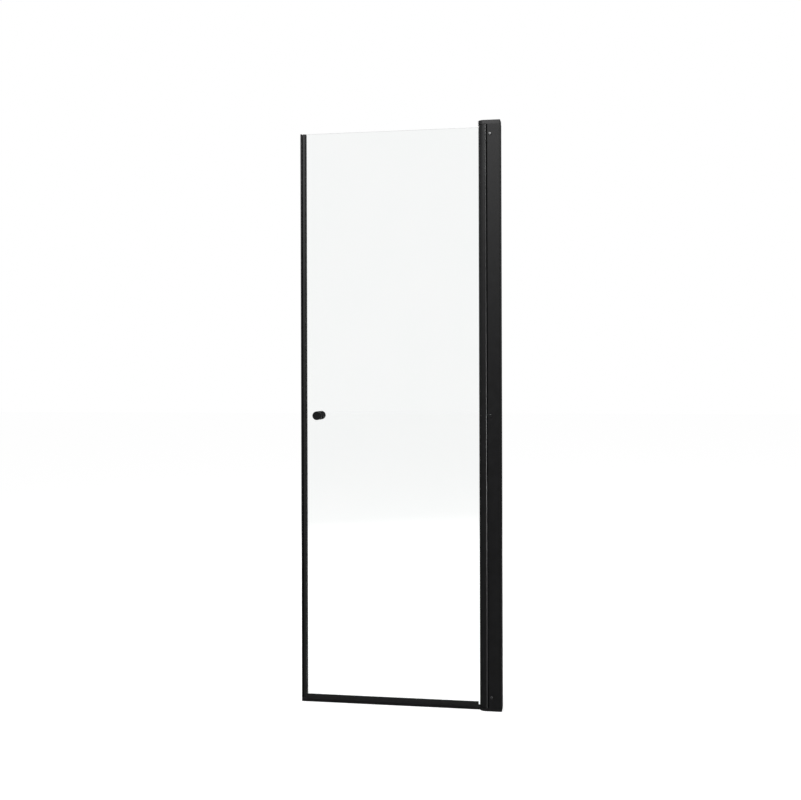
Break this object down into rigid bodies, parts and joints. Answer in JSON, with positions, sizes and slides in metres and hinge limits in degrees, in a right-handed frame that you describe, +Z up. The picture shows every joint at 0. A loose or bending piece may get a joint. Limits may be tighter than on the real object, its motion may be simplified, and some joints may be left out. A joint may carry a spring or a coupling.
{
  "type": "pivot shower door",
  "caption": "Clear-glass pivot shower door for a niche, with a black hinge post that lifts the door as it opens, a slim magnetic strike jamb, a low threshold and round knobs.",
  "frame": {"origin": "on the floor, half way between the two walls, in the middle plane of the closed glass", "axes": "+X across the niche from the strike wall to the hinge wall, +Y from the room into the shower, +Z up"},
  "size_m": [0.7, 0.076, 2],
  "materials": {
    "satin_black": "satin black powder coat on aluminium",
    "black_cap": "fine-grained black plastic",
    "black_rubber": "smooth black elastomer",
    "black_carrier": "smooth black plastic",
    "steel": "stainless steel",
    "clear_glass": "clear toughened glass",
    "pom": "white acetal",
    "soft_white": "soft white elastomer",
    "magnet": "magnetic strip",
    "knob_black": "satin black powder coat"
  },
  "bodies": {
    "wall_frame": {"hinge_wall_channel": "satin_black", "hinge_jamb_profile": "satin_black", "post_seal": "black_rubber", "bottom_bearing_cap": "black_cap", "top_bearing_cap": "black_cap", "cap_screws": "steel", "adjust_screws": "black_cap", "lower_pivot_pin": "steel", "upper_pivot_pin": "steel", "collar_clip": "steel", "lift_cam": "pom", "strike_wall_channel": "satin_black", "strike_jamb_profile": "satin_black", "strike_magnet_carrier": "black_carrier", "strike_magnet": "magnet", "strike_screws": "steel", "strike_top_cap": "black_cap", "strike_foot_cap": "black_cap", "threshold": "satin_black", "threshold_strike_end": "black_cap", "threshold_hinge_end": "black_cap"},
    "pivot_carrier": {"pivot_collar": "pom"},
    "door": {"hinge_stile": "satin_black", "cam_follower": "pom", "follower_screws": "steel", "glazing_gasket": "black_rubber", "setting_block": "pom", "glass_panel": "clear_glass", "edge_seal": "black_rubber", "door_magnet": "magnet", "bottom_seal": "black_rubber", "outer_knob": "knob_black", "inner_knob": "knob_black", "knob_grommet": "soft_white"}
  },
  "joints": [
    {"name": "door_swing", "type": "hinge", "parent": "wall_frame", "child": "pivot_carrier", "pos_m": [0.2953, 0, 1], "axis": [0, 0, 1], "range_deg": [0, 100]},
    {"name": "door_lift", "type": "slide", "parent": "pivot_carrier", "child": "door", "axis": [0, 0, 1], "range_m": [0, 0.0056]}
  ],
  "couplings": [
    {"joint": "door_lift", "follows": "door_swing", "m_per_rad": 0.0031831}
  ]
}
